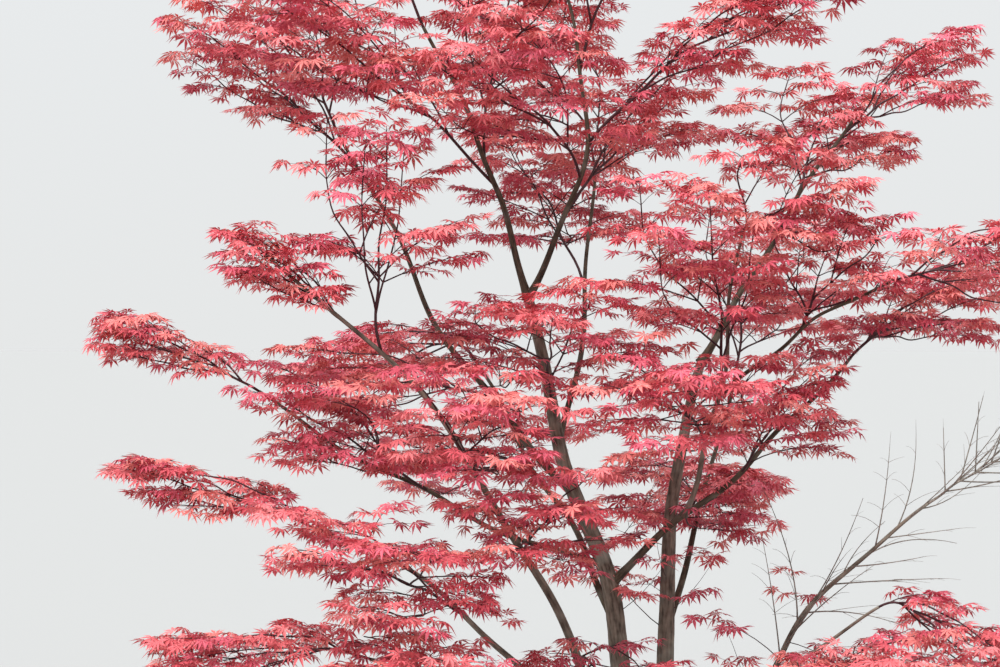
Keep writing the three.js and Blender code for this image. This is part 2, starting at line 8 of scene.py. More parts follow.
import bpy
import numpy as np
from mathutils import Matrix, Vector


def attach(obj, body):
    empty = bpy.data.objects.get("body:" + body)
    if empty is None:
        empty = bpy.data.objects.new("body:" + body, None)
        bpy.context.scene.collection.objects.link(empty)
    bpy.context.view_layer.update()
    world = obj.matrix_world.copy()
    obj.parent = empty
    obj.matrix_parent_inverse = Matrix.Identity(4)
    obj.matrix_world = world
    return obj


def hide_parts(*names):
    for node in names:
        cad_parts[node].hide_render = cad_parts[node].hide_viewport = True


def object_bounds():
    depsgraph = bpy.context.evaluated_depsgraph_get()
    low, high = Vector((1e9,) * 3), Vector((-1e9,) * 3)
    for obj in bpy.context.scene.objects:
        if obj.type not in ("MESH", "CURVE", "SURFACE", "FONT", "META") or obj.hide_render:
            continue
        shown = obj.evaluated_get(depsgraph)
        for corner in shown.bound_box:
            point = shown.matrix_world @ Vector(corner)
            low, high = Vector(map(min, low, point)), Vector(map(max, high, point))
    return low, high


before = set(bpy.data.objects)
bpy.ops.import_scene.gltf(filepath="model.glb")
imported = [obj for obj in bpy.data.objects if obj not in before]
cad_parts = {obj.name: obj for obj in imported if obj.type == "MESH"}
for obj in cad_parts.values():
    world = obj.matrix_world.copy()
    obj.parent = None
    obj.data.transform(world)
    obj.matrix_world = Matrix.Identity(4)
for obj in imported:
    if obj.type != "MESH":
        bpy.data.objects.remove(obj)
cad_box = np.array(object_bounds())

MM = 0.001
UP, EAST = np.array([0.0, 0.0, 1.0]), np.array([1.0, 0.0, 0.0])
STEEP = 0.9  # sine of the rise past which a tube's cross direction is taken from EAST

# Clearances and limb growth, as in the solids
GAP = 0.3 * MM
TWIG_ROOM = 1.5 * MM
REACH_OF_BEND = 0.38  # share of the chord over which each end keeps its direction
CROOK = 0.012  # side-to-side wander as a share of the chord
WANDER = (9, 12)
TAPER = 0.8
CROWN_PROFILE = [(176, 0), (142, 24), (118, 62), (106, 112), (86, 160), (48, 194), (0, 205)]
CROWN_ROOTS, CROWN_SWELL, CROWN_TURN = 5, 0.13, 0.6

# Foliage growth, as in the solids
SPRAY_LONGEST = 430 * MM
STEM_FOOT, STEM_TIP, STEM_RINGS = 5 * MM, 2.2 * MM, 18
FORK_FOOT, FORK_TIP = 3.4 * MM, 1.8 * MM
STEM_BARE, STEM_LAST = 0.3, 0.86
STEM_FOLLOW, STEM_SAG = 0.5, 0.12
STEM_SHORT, STEM_SHORTEST = 0.55, 0.5
SPLAY, SPLAY_SPREAD = 54, 16
TURNS, TURN_SPREAD = (-28, 40), 28
SPACE_POWER = 3
LAYER_STRETCH = 1.6
SITE = 0.58
LOWEST = 40 * MM
DRY_PAIRS, DRY_FIRST, DRY_LAST, DRY_SPLAY, DRY_SPREAD = 4, 0.12, 0.9, 38, 20

# Finer growth than the solids have. Each stem forks into layers: where on the stem a fork
# leaves, how far up and to the side it ends as shares of the space, and how far out.
FORKS = [(0.16, 0.3, 0.16, 0.84), (0.24, -0.27, -0.2, 0.78), (0.4, 0.1, -0.3, 0.9)]
FORK_SHIFT = 0.08  # how much further along a fork may leave
FORK_OUT = 0.8  # scales how far out forks end
FORK_TURN, FORK_SAG, FORK_BARE = 0.7, 0.15, 0.25
PAIR_STEP = 124 * MM  # between pairs of branches on a stem
FLATTER = 0.6  # share of the stem's turns by which a fork's pairs turn
# Branches on stems and forks: "last" is the share of the longest that the last ones reach,
# "rise" is added to their direction, "dip" times "bow" bends them, and "level" levels them
BRANCH = {"longest": 330 * MM, "shortest": 60 * MM, "step": 15 * MM, "radius": (2.5 * MM, 1.0 * MM),
          "last": 0.5, "beyond": 0.06, "share": (0.7, 1.0), "rise": 0.24, "dip": (-0.5, 0.2),
          "bow": 0.3, "level": 0.36, "at_tip": 0.8, "tip_dip": -0.12, "room": 30 * MM}
# What all pairs of finer shoots share: how far a pair may move along, its roll, the spread of its
# lengths, its bend and levelling, and then the shoot at the tip
PAIR = {"move": 0.35, "roll": (-14, 14), "share": (0.72, 1.12), "bend": (-0.14, 0.04), "level": 0.35,
        "at_tip": 1.5, "tip_bend": -0.1, "step": 12 * MM, "shortest": 0.4, "ease": 8 * MM}
TWIG = {"step": 76 * MM, "bare": 0.2, "share": 0.5, "least": 40 * MM, "longest": 130 * MM,
        "splay": 46, "spread": 18, "radius": (1.1 * MM, 0.55 * MM)}
GOLDEN_ANGLE = 2.4
SHOOT_TURN = 1.0  # where about its limb the first of a row stands
SHOOT_BEND, SHOOT_ASIDE, SHOOT_SHARE = (-0.2, 0.2), (-0.3, 0.3), (0.5, 1)
MOST_CUTS = 40  # steps by which a shoot is cut back
# Sparse leafy shoots on the stems below the masses: the stem, how many, over what stretch of it,
# their lengths from its near to its far end, and their splay. One mass's pieces hold them all.
SPARSE = [
    ("right_stem", 7, (0.36, 0.6), (330 * MM, 260 * MM), (50, 85)),
    ("trunk", 5, (0.36, 0.52), (300 * MM, 240 * MM), (50, 85)),
    ("right_outer_stem", 6, (0.3, 0.56), (300 * MM, 240 * MM), (35, 75)),
]
SPARSE_MASS, SPARSE_RADIUS, SPARSE_SEED = "low_right_inner", (1.8 * MM, 0.8 * MM), 50
SPARSE_TWIG = {**TWIG, "step": 110 * MM, "bare": 0.4, "share": 0.4, "least": 34 * MM,
               "longest": 110 * MM}

# Bare twigs: at the dry limb's tip, along it (radii last), and finer ones
DRY_LONGEST, DRY_TWIG, DRY_STEP, DRY_SHORTEST = 460 * MM, 500 * MM, 20 * MM, 60 * MM
DRY_RADIUS, DRY_TIP = (2.2 * MM, 0.9 * MM), 1.5 * MM
DRY_RISE, DRY_BEND = (-0.2, 0.35), (0.02, 0.2)
DRY_SHOOTS = (16, (0.46, 0.98), (520 * MM, 240 * MM), (20, 52), (3.2 * MM, 1.0 * MM))
DRY_FINE = {"step": 52 * MM, "bare": 0.2, "share": 0.4, "least": 36 * MM, "longest": 180 * MM,
            "splay": 44, "spread": 36, "radius": (1.1 * MM, 0.5 * MM)}
DRY_LEFT = 0.62  # share of the finest dry twigs that haven't dropped

# Sides of the stems' tubes, then rings and sides of finer ones
STEM_SIDES, FORK_SIDES = 6, 5
BRANCH_TUBE, TWIG_TUBE = (6, 4), (4, 3)
DRY_TUBE, DRY_LIMB_TUBE, DRY_FINE_TUBE = (10, 4), (10, 5), (5, 3)

# Leaves: the nodes along a twig, how a leaf stands there, and the blade's size and form; the
# middle one of the three at a twig's tip is smaller by "middle"
LEAF = {"step": 72 * MM, "bare": 0.35, "first": 0.2, "twist": (-20, 20), "splay": 58, "spread": 26,
        "tip_splay": 12, "lift": 0.1, "stalk": (14 * MM, 30 * MM), "size": (34 * MM, 49 * MM),
        "middle": 0.85, "flat": 0.25, "droop": (-18, 40), "roll": 30, "fold": 0.03, "curl": (0.0, 0.5)}
# Each lobe of a leaf: degrees from the middle one, and length and half width as shares of it
LOBES = [(0, 1.0, 0.11), (38, 0.94, 0.11), (-38, 0.94, 0.11), (77, 0.78, 0.1), (-77, 0.78, 0.1)]
SMALL_LOBES = [(122, 0.42, 0.07), (-122, 0.42, 0.07)]
LOBE_WIDEST, LOBE_SINK = 0.46, 0.2  # where a lobe is widest, and the share of its curl there
STALK_RADIUS, STALK_SIDES, STALK_LEAN = 0.55 * MM, 3, 0.3
SPRAY_TINT = 0.75  # share of a leaf's shade that its spray decides, not its twig

# Bark relief: ridges as whole turns around, rate along and share, then rings at old buds
RIDGES = [(3, 14, 0.5), (5, -21, 0.4), (7, 33, 0.3), (2, 47, 0.35), (4, 90, 0.2), (9, -60, 0.2)]
BUD_SPACING, BUD_SPREAD, BUD_WIDTH, BUD_HEIGHT = 85 * MM, 50 * MM, 6 * MM, 0.6
# Bark meshes of stout and of slim limbs: sides, step between rings, relief and collar
STOUT = 30 * MM
STOUT_BARK, SLIM_BARK = (40, 7 * MM, 0.022, 0.5), (20, 10 * MM, 0.016, 0.75)
COLLAR_REACH = 2.2  # how far a collar runs, in radii of the foot
FEWEST_RINGS = 8
GRAIN_SHIFT = 1.7  # moves the pattern on from limb to limb
LICHEN = (0.4, 0.42, 0.36)
CROWN_RINGS, CROWN_SIDES, CROWN_RELIEF, CROWN_SEED = 46, 96, 0.012, 77
CROWN_CLOSE = 0.985  # share of the crown's profile that its rings cover

# Floor, light and camera
FLOOR_SIDE = 400.0
HORIZON = (0.79, 0.805, 0.806)  # as bright as the lit floor, so that no line shows there
ZENITH = (0.86, 0.9, 0.94)
SKY_RISE = 0.6  # sine of the height where the zenith's colour begins
SUN_ANGLE = 24.0  # degrees across, for soft shadows
EYE, LENS, SENSOR = (-0.435, -7.1, 1.5), 85, 36

# Each limb: name, what carries it and how far along, its tip, the directions in which it leaves
# and arrives, and its radius at both ends. Stems from the root crown state a foot instead.
TRUNK = ("trunk", (-8, 0, 70), None, (-357, 0, 1633), (-0.07, 0, 1), (-0.2, 0.02, 1), (37, 15.5))
LIMBS = [
    ("right_stem", (62, 28, 100), None, (190, 160, 1430), (0.06, 0.03, 1), (0.35, 0.15, 1), (34, 13.5)),
    ("left_front_stem", (-62, -52, 100), None, (-1080, -610, 1715),
     (-0.3, -0.2, 0.93), (-0.78, -0.1, 0.6), (17, 4.5)),
    ("left_low_stem", (-88, -6, 92), None, (-940, -310, 930),
     (-0.5, -0.2, 0.83), (-0.85, -0.12, 0.35), (14, 4.5)),
    ("bottom_left_stem", (-84, -66, 70), None, (-800, -430, 580),
     (-0.72, -0.38, 0.6), (-0.85, -0.3, 0.38), (12, 4.5)),
    ("right_outer_stem", (92, -28, 92), None, (800, -290, 1010),
     (0.58, -0.22, 0.78), (0.78, -0.12, 0.55), (14, 4.5)),
    ("low_right_stem", (78, -74, 72), None, (640, -405, 725),
     (0.6, -0.45, 0.62), (0.8, -0.3, 0.5), (10, 4)),
    ("left_leader", "trunk", 0.985, (-660, -155, 2400), (-0.28, -0.12, 1), (-0.5, -0.12, 0.86), (11, 5)),
    ("right_leader", "trunk", 0.985, (-235, -170, 2480),
     (0.5, -0.15, 0.85), (-0.28, -0.1, 0.95), (10.5, 4.5)),
    ("left_back_limb", "trunk", 0.62, (-930, 120, 2110),
     (-0.7, 0.35, 0.6), (-0.5, -0.15, 0.85), (12.5, 5)),
    ("left_tier_bough", "trunk", 0.46, (-1140, -180, 1330),
     (-0.93, -0.15, 0.3), (-0.78, -0.05, 0.55), (9, 4.5)),
    ("cross_limb", "trunk", 0.42, (591, -180, 1428), (0.7, -0.1, 0.7), (0.6, -0.15, 0.75), (12.5, 5)),
    ("right_back_bough", "right_stem", 0.985, (690, 330, 2190), (0.5, 0.2, 0.8), (0.6, 0.2, 0.75),
     (11.5, 5)),
    ("right_front_stem", "cross_limb", 0.3, (260, -330, 1780),
     (0.3, -0.6, 0.75), (0.2, -0.15, 0.95), (8.5, 4.5)),
    ("right_reach_bough", "right_front_stem", 0.48, (680, -440, 1650),
     (0.75, -0.2, 0.6), (0.9, -0.25, 0.35), (6.5, 4)),
    ("back_left_limb", "trunk", 0.34, (-520, 560, 1420), (-0.3, 0.7, 0.65), (-0.45, 0.5, 0.75), (12, 5)),
    ("back_right_limb", "right_stem", 0.36, (330, 640, 1330),
     (0.25, 0.75, 0.6), (0.25, 0.6, 0.75), (12, 5)),
    ("back_centre_limb", "trunk", 0.72, (-130, 480, 2000), (0.25, 0.6, 0.75), (0.1, 0.4, 0.9), (10, 5)),
]

# Each mass of foliage: name, the limb that carries its stem and how far along, the furthest
# point of its space, the width and height of that space, and the bare share of its stem.
MASSES = [
    ("crown_top", "right_leader", 1, (-340, -120, 3300), 640, 550, STEM_BARE),
    ("crown_left", "left_leader", 1, (-800, -190, 3090), 620, 540, STEM_BARE),
    ("crown_right", "right_leader", 0.78, (190, -240, 3140), 560, 460, 0.42),
    ("crown_back", "left_leader", 0.5, (-330, 420, 2900), 640, 480, STEM_BARE),
    ("upper_left", "left_leader", 0.4, (-1270, -430, 2600), 640, 420, 0.42),
    ("upper_far_left", "left_back_limb", 0.92, (-1400, -60, 2480), 540, 230, 0.25),
    ("upper_left_back", "left_back_limb", 1, (-1060, 420, 2620), 600, 460, STEM_BARE),
    ("upper_right_tip", "right_leader", 0.54, (660, -430, 2630), 400, 210, 0.4),
    ("upper_right_inner", "right_leader", 0.32, (160, 230, 2290), 500, 300, 0.3),
    ("upper_centre_front", "right_leader", 0.42, (-570, -700, 2320), 600, 400, 0.2),
    ("right_shoulder_tip", "right_back_bough", 0.92, (1060, 400, 2420), 480, 300, 0.1),
    ("right_shoulder", "right_back_bough", 0.62, (680, 760, 2330), 640, 420, STEM_BARE),
    ("right_upper_front", "right_front_stem", 1, (430, -560, 1900), 640, 480, 0.1),
    ("centre_upper_front", "right_front_stem", 0.5, (130, -650, 1950), 660, 480, 0.1),
    ("right_reach", "right_reach_bough", 1, (1150, -540, 1700), 580, 360, STEM_BARE),
    ("right_reach_inner", "right_reach_bough", 0.5, (560, -160, 1850), 620, 460, 0.2),
    ("right_outer", "cross_limb", 1, (1060, 0, 1640), 540, 270, 0.2),
    ("right_low", "cross_limb", 0.52, (480, -390, 1450), 540, 370, 0.15),
    ("low_right_inner", "right_stem", 0.62, (340, 260, 980), 420, 260, 0.4),
    ("low_centre_spray", "left_front_stem", 0.22, (-60, -800, 480), 420, 220, 0.4),
    ("centre_right_front", "right_front_stem", 0.3, (-160, -860, 1370), 740, 460, 0.2),
    ("centre_front", "trunk", 0.8, (-300, -690, 1570), 700, 440, 0.25),
    ("centre_left_front", "left_front_stem", 0.56, (-600, -960, 1330), 620, 400, STEM_BARE),
    ("centre_low_front", "left_front_stem", 0.42, (-260, -900, 1060), 600, 360, 0.2),
    ("left_spray", "left_front_stem", 0.86, (-1190, -620, 1770), 260, 170, 0.35),
    ("left_front_upper", "left_front_stem", 0.8, (-740, -580, 2150), 550, 410, 0.45),
    ("left_tier", "left_tier_bough", 1, (-1650, -230, 1550), 260, 150, 0.3),
    ("left_inner_tier", "left_back_limb", 0.28, (-1130, 230, 1370), 520, 310, 0.6),
    ("left_mid_tier", "left_tier_bough", 0.5, (-1130, -500, 1360), 600, 400, 0.2),
    ("left_low_tier", "left_low_stem", 1, (-1540, -330, 1130), 240, 140, 0.35),
    ("low_left_front", "left_low_stem", 0.62, (-960, -1000, 950), 700, 420, 0.4),
    ("bottom_left_reach", "bottom_left_stem", 1, (-1430, -480, 590), 400, 190, 0.2),
    ("bottom_left_front", "bottom_left_stem", 0.66, (-820, -980, 650), 640, 360, 0.2),
    ("bottom_right", "low_right_stem", 0.45, (780, -810, 640), 640, 330, 0.1),
    ("bottom_right_spray", "low_right_stem", 1, (1060, -540, 510), 400, 200, 0.1),
    ("bare_twigs", "right_outer_stem", 1, (1200, -330, 1270), 460, 360, STEM_BARE),
    ("back_top", "back_centre_limb", 1, (-420, 820, 2620), 600, 420, STEM_BARE),
    ("back_centre", "back_centre_limb", 0.6, (-430, 1060, 2210), 640, 440, 0.3),
    ("back_left", "back_left_limb", 1, (-1030, 1000, 1330), 620, 350, STEM_BARE),
    ("back_right", "back_right_limb", 1, (430, 1190, 1900), 700, 520, STEM_BARE),
    ("back_low_left", "back_left_limb", 0.55, (-620, 1120, 1090), 680, 400, 0.4),
    ("back_low_right", "back_right_limb", 0.5, (200, 1200, 940), 600, 360, 0.4),
]
LEAFLESS = "bare_twigs"
# How far leaves stand proud of the solids' box, as a share of each side; shoots half as far
PROUD = 0.03


def unit(vectors):
    """Vectors divided by their lengths."""
    return vectors / np.maximum(np.linalg.norm(vectors, axis=-1, keepdims=True), 1e-12)


def dot(a, b):
    """The sum of products along the last axis, kept as a column."""
    return np.sum(a * b, axis=-1, keepdims=True)


def within_box(points, proud):
    """True where a point lies in the solids' box, grown by a share of each side."""
    grown = proud * (cad_box[1] - cad_box[0])
    return ((points > cad_box[0] - grown) & (points < cad_box[1] + grown)).all(-1)


def mix(low, high, share):
    """low at share 0, high at share 1, and a straight line between."""
    return low + (high - low) * share


def chance(seed, index):
    """Repeatable numbers from 0 to 1: the fraction of a large multiple of a sine of both.

    Each use adds a number of its own to the index, so that its draws differ from the others'.
    """
    wave = np.sin(np.asarray(seed) * 12.9898 + np.asarray(index) * 78.233) * 43758.5453
    return wave - np.floor(wave)


class LimbPath:
    """A cubic curve that leaves and arrives in given directions, with a slight crook.

    The crook is a wander across the chord, a sine of the way along times a bow that is 0 at
    both ends.
    """

    def __init__(self, start, leave, end, arrive, seed):
        chord = end - start
        span = np.linalg.norm(chord)
        bend = span * REACH_OF_BEND
        self.corners = [start, start + unit(leave) * bend, end - unit(arrive) * bend, end]
        self.crook = span * CROOK
        self.phase = chance(seed, 1) * 2 * np.pi
        self.across = unit(np.cross(UP, chord))
        self.over = np.cross(unit(chord), self.across)

    def point(self, t):
        """Points at shares t of the way."""
        t = np.clip(np.asarray(t, float), 0, 1)[..., None]
        a, b, c, d = self.corners
        on_curve = (1 - t) ** 3 * a + 3 * (1 - t) ** 2 * t * b + 3 * (1 - t) * t * t * c + t ** 3 * d
        wander = self.crook * 4 * t * (1 - t)
        return (on_curve + wander * np.sin(WANDER[0] * t + self.phase) * self.across
                + wander * np.cos(WANDER[1] * t + self.phase) * self.over)

    def frame(self, t):
        """Points, directions and two cross directions at shares t of the way."""
        t = np.asarray(t, float)
        along = unit(self.point(t + 1e-4) - self.point(t - 1e-4))
        side = unit(self.across - dot(self.across, along) * along)
        return self.point(t), along, side, np.cross(along, side)

    def length(self):
        """The curve's length, from 200 straight steps."""
        return np.linalg.norm(np.diff(self.point(np.linspace(0, 1, 201)), axis=0), axis=1).sum()


def grow_limbs():
    """The path and end radii of every limb by name, each from the one that carries it."""
    limbs = {}
    for seed, (name, foot, along, tip, leave, arrive, thick) in enumerate([TRUNK] + LIMBS):
        start = limbs[foot][0].point(along) if along else np.array(foot) * MM
        path = LimbPath(start, np.array(leave), np.array(tip) * MM, np.array(arrive), seed)
        limbs[name] = (path, np.array(thick) * MM)
    return limbs


def space_of(index, mass, limbs):
    """The space of one mass: a rounded block from its stem's foot to its furthest point."""
    name, carrier, along, to, wide, tall, bare = mass
    path, thick = limbs[carrier]
    foot, way, _, _ = path.frame(along)
    at_tip = along == 1
    start = foot + (way * GAP if at_tip else 0)
    to = np.array(to) * MM
    length = np.linalg.norm(to - start)
    heading = unit(to - start)
    side = unit(np.cross(UP, heading))
    wide, tall = wide * MM, tall * MM
    leave = way if at_tip else way * STEM_FOLLOW + heading
    end = mix(start, to, 1 - min(STEM_SHORTEST, STEM_SHORT * SPRAY_LONGEST / length))
    return {
        "name": name, "carrier": carrier, "index": index, "bare": bare,
        "start": start, "to": to, "length": length, "heading": heading,
        "side": side, "rise": np.cross(heading, side), "wide": wide, "tall": tall,
        "centre": (start + to) / 2, "site": mix(start, to, SITE),
        "pull": ((length + wide + tall) / 6) ** 2,
        "foot": min(mix(thick[0], thick[1], along ** TAPER), STEM_FOOT),
        "path": LimbPath(start, leave, end, heading - UP * STEM_SAG, index + 40),
    }


def forks_of(space):
    """The finer stems that a mass's stem forks into, each bound for its own layer of the space."""
    stem = space["path"]
    paths = []
    for number, (t, up, aside, out) in enumerate(FORKS):
        hand = 1 if space["index"] % 2 else -1
        foot, along, _, _ = stem.frame(t + FORK_SHIFT * chance(space["index"], number + 50))
        rise, across = space["rise"] * up * space["tall"], space["side"] * aside * hand * space["wide"]
        end = mix(space["start"], space["to"], out * FORK_OUT) + rise + across
        leave = along + unit(rise + across) * FORK_TURN
        paths.append(LimbPath(foot, leave, end, space["heading"] - UP * FORK_SAG,
                              space["index"] + 80 + 40 * number))
    return paths


class Spaces:
    """The spaces of all masses, with the test for whether points lie in them."""

    def __init__(self, spaces):
        self.named = {space["name"]: space for space in spaces}
        self.leafy = [space for space in spaces if space["name"] != LEAFLESS]
        self.centre = np.array([space["centre"] for space in spaces])
        self.axes = np.array([[space["heading"], space["side"], space["rise"]] for space in spaces])
        self.half = np.array([[s["length"], s["wide"], s["tall"]] for s in spaces]) / 2
        self.sites = np.array([space["site"] for space in spaces]) * (1, 1, LAYER_STRETCH)
        self.pull = np.array([space["pull"] for space in spaces])

    def share_margin(self, mass, points):
        """How far each point lies inside its mass's share.

        It is the smallest distance to a plane between that mass and another, with height
        stretched; a plane stands where the squared distances less the pulls are equal.
        """
        here = points * (1, 1, LAYER_STRETCH)
        power = ((here[:, None] - self.sites[None]) ** 2).sum(2) - self.pull
        own = power[np.arange(len(points)), mass][:, None]
        apart = np.linalg.norm(self.sites[mass][:, None] - self.sites[None], axis=2)
        apart[np.arange(len(points)), mass] = 1
        margin = (power - own) / (2 * apart)
        margin[np.arange(len(points)), mass] = np.inf
        return margin.min(1)

    def inside(self, mass, points, ease=0.0):
        """True where a point lies in its mass's own space, grown by ease on every side.

        The block is where the cubes of the three offsets, as shares of its halves, sum to 1.
        Points also keep above the ground and near the solids' box.
        """
        offset = np.einsum("nij,nj->ni", self.axes[mass], points - self.centre[mass])
        filled = (np.abs(offset / (self.half[mass] + ease)) ** SPACE_POWER).sum(1)
        margin = self.share_margin(mass, points) + ease
        held = within_box(points, 0.5 * PROUD) & (points[:, 2] > LOWEST)
        return (filled <= 1) & held & (margin > TWIG_ROOM)


class Shoots:
    """Many shoots of one order, each a short curve that sets out one way and then bends.

    The point at share s of a shoot is root + length * (way * s + bend * s squared).
    """

    def __init__(self, mass, spray, root, way, bend, length, radius=None):
        self.mass, self.spray = mass, spray
        self.root, self.way, self.bend, self.length = root, way, bend, length
        self.radius = np.zeros((len(mass), 2)) if radius is None else radius

    def keep(self, which):
        """Only the shoots that which picks."""
        for key, value in vars(self).items():
            setattr(self, key, value[which])
        return self

    def thicken(self, longest, radius):
        """Gives each shoot the radius at both ends, times the root of its share of the longest."""
        self.radius = np.sqrt(self.length / longest)[:, None] * np.array(radius)
        return self

    def point(self, s, which=slice(None)):
        """Points at shares s."""
        s = np.asarray(s)[..., None]
        span = self.length[which][:, None]
        return self.root[which] + span * (self.way[which] * s + self.bend[which] * s * s)

    def direction(self, s, which=slice(None)):
        """Directions at shares s."""
        return unit(self.way[which] + 2 * self.bend[which] * np.asarray(s)[..., None])


def counted(counts):
    """Each shoot's number repeated by its count, with the running number within each."""
    owner = np.repeat(np.arange(len(counts)), counts)
    return owner, np.arange(len(owner)) - (np.cumsum(counts) - counts)[owner]


def shorten(shoots, spaces, longest, step, shortest, ease=0.0):
    """Cuts each shoot back in steps until its tip lies in its mass's space, or drops it.

    Without spaces it only cuts back to the longest.
    """
    shoots.length = np.minimum(shoots.length, longest)
    if spaces is None:
        return shoots
    for _ in range(MOST_CUTS):
        out = ~spaces.inside(shoots.mass, shoots.point(1), ease)
        if not out.any():
            break
        shoots.length = np.where(out, shoots.length - step, shoots.length)
        shoots.keep(shoots.length > shortest)
    return shoots


def branch_rows(space, path, bare, flatter, seed):
    """Pairs of branches on one stem, turned about it by turns, and one at its tip.

    Each row is the mass, root, way, dip and wanted length. Branches shorten toward the tip.
    """
    span = path.length()
    pairs = max(2, round(span * (1 - bare) / PAIR_STEP))
    tip, along, _, _ = path.frame(1)
    rows = [(space["index"], tip, along, BRANCH["tip_dip"], BRANCH["longest"] * BRANCH["at_tip"])]
    for pair in range(pairs):
        share = pair / (pairs - 1)
        t = mix(bare, STEM_LAST + BRANCH["beyond"], share)
        point, along, _, _ = path.frame(t)
        turn = np.radians(TURNS[pair % 2] + TURN_SPREAD * (chance(seed, pair) - 0.5)) * flatter
        outward = (space["side"] * np.cos(turn) * space["wide"]
                   + space["rise"] * np.sin(turn) * space["tall"])
        outward = unit(outward - dot(outward, along) * along)
        for hand in (1, -1):
            angle = np.radians(SPLAY + SPLAY_SPREAD * (chance(seed, pair + hand * 0.3) - 0.5))
            way = along * np.cos(angle) + outward * hand * np.sin(angle)
            dip = mix(*BRANCH["dip"], chance(seed, 60 + pair * 2 + (hand + 1) / 2))
            length = BRANCH["longest"] * mix(1, BRANCH["last"], share)
            length = length * mix(*BRANCH["share"], chance(seed, pair * 2 + hand + 0.4))
            rows.append((space["index"], point, way, dip, length))
    return rows


def grow_branches(spaces):
    """The branches of every mass, on its stem and on the forks of that, cut back to its space.

    A branch sets out splayed from its stem, levels out and bends by a seeded dip.
    """
    rows = []
    for space in spaces.leafy:
        seed = space["index"] * 7 + 3
        rows += branch_rows(space, space["path"], space["bare"], 1, seed)
        for number, path in enumerate(space["forks"]):
            rows += branch_rows(space, path, FORK_BARE, FLATTER, seed + 300 * (number + 1))
    mass, root, way, dip, length = (np.array(column) for column in zip(*rows))
    way = unit(way + UP * BRANCH["rise"])
    bend = UP * (BRANCH["bow"] * dip - BRANCH["level"] * way[:, 2])[:, None]
    branches = Shoots(mass, np.arange(len(rows)), root, way, bend, length)
    branches.keep(spaces.inside(mass, root, BRANCH["room"]))
    shorten(branches, spaces, BRANCH["longest"], BRANCH["step"], BRANCH["shortest"])
    return branches.thicken(BRANCH["longest"], BRANCH["radius"])


def along_limb(limb, mass, seed, count, reach, length, splay, radius):
    """Single shoots along a stretch of a limb, each turned on about it by the golden angle.

    A shoot splays from the limb by a seeded angle, and bends up or down and to a side. The
    shoots shorten toward the far end of the stretch.
    """
    number = np.arange(count)
    share = number / (count - 1)
    root, along, side, top = limb.frame(mix(*reach, share))
    turn = (GOLDEN_ANGLE * number + SHOOT_TURN)[:, None]
    angle = np.radians(mix(*splay, chance(seed, number + 3)))[:, None]
    way = along * np.cos(angle) + (side * np.cos(turn) + top * np.sin(turn)) * np.sin(angle)
    aside = unit(np.cross(way, side))
    bend = (UP * mix(*SHOOT_BEND, chance(seed, number + 7))[:, None]
            + aside * mix(*SHOOT_ASIDE, chance(seed, number + 9))[:, None])
    spans = mix(*length, share) * mix(*SHOOT_SHARE, chance(seed, number + 11))
    shoots = Shoots(np.full(count, mass), number + 1000 * seed, root, way, bend, spans)
    return shoots.thicken(length[0], radius)


def together(*groups):
    """Several groups of shoots as one."""
    return Shoots(*(np.concatenate([getattr(group, key) for group in groups])
                    for key in vars(groups[0])))


def grow_dry_twigs(space):
    """The bare twigs at the limb's tip: pairs on their stem, level and upright by turns."""
    path, seed = space["path"], space["index"]
    rows = []
    for pair in range(DRY_PAIRS * 2):
        t = mix(DRY_FIRST, DRY_LAST, pair / (DRY_PAIRS * 2 - 1))
        point, along, _, _ = path.frame(t)
        outward = space["rise"] if pair % 2 else space["side"]
        for hand in (1, -1):
            angle = np.radians(DRY_SPLAY + DRY_SPREAD * chance(seed, pair + hand * 0.3))
            way = (along * np.cos(angle) + outward * hand * np.sin(angle)
                   + UP * mix(*DRY_RISE, chance(seed, pair + hand * 0.2 + 5)))
            rows.append((point, unit(way)))
    tip, along, _, _ = path.frame(1)
    rows.append((tip, along))
    root, way = (np.array(column) for column in zip(*rows))
    count, number = len(rows), np.arange(len(rows))
    bend = UP * mix(*DRY_BEND, chance(seed, number))[:, None]
    return Shoots(np.full(count, seed), number, root, way, bend, np.full(count, DRY_TWIG),
                  np.tile(DRY_RADIUS, (count, 1)))


def stand_out(shoots, s, owner, hand, roll):
    """Directions along shoots, and out from them to one hand: level, then rolled by degrees."""
    along, roll = shoots.direction(s, owner), np.radians(roll)[:, None]
    side = unit(np.cross(UP, along))
    return along, hand[:, None] * (side * np.cos(roll) + np.cross(along, side) * np.sin(roll))


